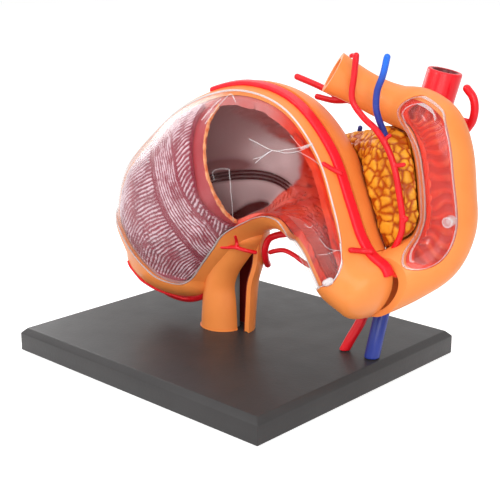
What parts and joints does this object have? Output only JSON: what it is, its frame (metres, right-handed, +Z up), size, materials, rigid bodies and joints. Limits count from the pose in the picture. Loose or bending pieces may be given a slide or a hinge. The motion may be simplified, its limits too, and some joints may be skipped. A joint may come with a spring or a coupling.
{
  "type": "stomach anatomy model",
  "caption": "Take-apart stomach model on a square base, with clear windows onto the stomach wall and the duodenum, and the pancreas and great vessels behind.",
  "frame": {"origin": "middle of the base plate's underside", "axes": "+Z up; +X along the base's long edge, towards the duodenum; the clear window of the stomach faces -Y"},
  "size_m": [0.1587, 0.116, 0.1217],
  "materials": {
    "base": "satin black moulded plastic",
    "post": "grey moulded plastic",
    "shell": "satin orange moulded plastic",
    "clear": "clear thermoformed plastic, with faint moulded lines",
    "muscle": "mauve moulded relief with pale painted ridges",
    "submucosa": "painted red moulded relief",
    "mucosa": "glossy red painted lining",
    "artery": "glossy red paint",
    "vein": "glossy blue paint",
    "pancreas": "ochre lobes with red-brown creases"
  },
  "bodies": {
    "stand": {"base_plate": "base", "stand_post": "post"},
    "organ": {"stomach_back_shell": "shell", "mucosa_back": "mucosa", "left_gastric_artery": "artery", "right_gastric_artery": "artery", "duodenum_shell": "shell", "duodenum_lining": "mucosa", "pancreas": "pancreas", "aorta": "artery", "superior_mesenteric_artery": "artery", "superior_mesenteric_vein": "vein", "portal_vein": "vein", "hepatic_artery": "artery", "colic_artery": "artery", "inferior_mesenteric_vein": "vein", "side_artery": "artery"},
    "front_half": {"stomach_front_shell": "shell", "mucosa_front": "mucosa", "muscle_layer": "muscle", "submucosa_layer": "submucosa", "gastroepiploic_band": "artery", "epiploic_branch_upper": "artery", "epiploic_branch_lower": "artery", "anterior_gastric_artery": "artery", "fundus_artery": "artery"},
    "stomach_window_body": {"stomach_window": "clear"},
    "duodenum_window_body": {"duodenum_window": "clear"}
  },
  "joints": [
    {"name": "organ_lift", "type": "slide", "parent": "stand", "child": "organ", "axis": [0, 0, 1], "range_m": [0, 0.045]},
    {"name": "front_half_pull", "type": "slide", "parent": "organ", "child": "front_half", "axis": [0, -1, 0], "range_m": [0, 0.06]},
    {"name": "stomach_window_pull", "type": "slide", "parent": "front_half", "child": "stomach_window_body", "axis": [0, -1, 0], "range_m": [0, 0.045]},
    {"name": "duodenum_window_pull", "type": "slide", "parent": "organ", "child": "duodenum_window_body", "axis": [0, -1, 0], "range_m": [0, 0.03]}
  ]
}
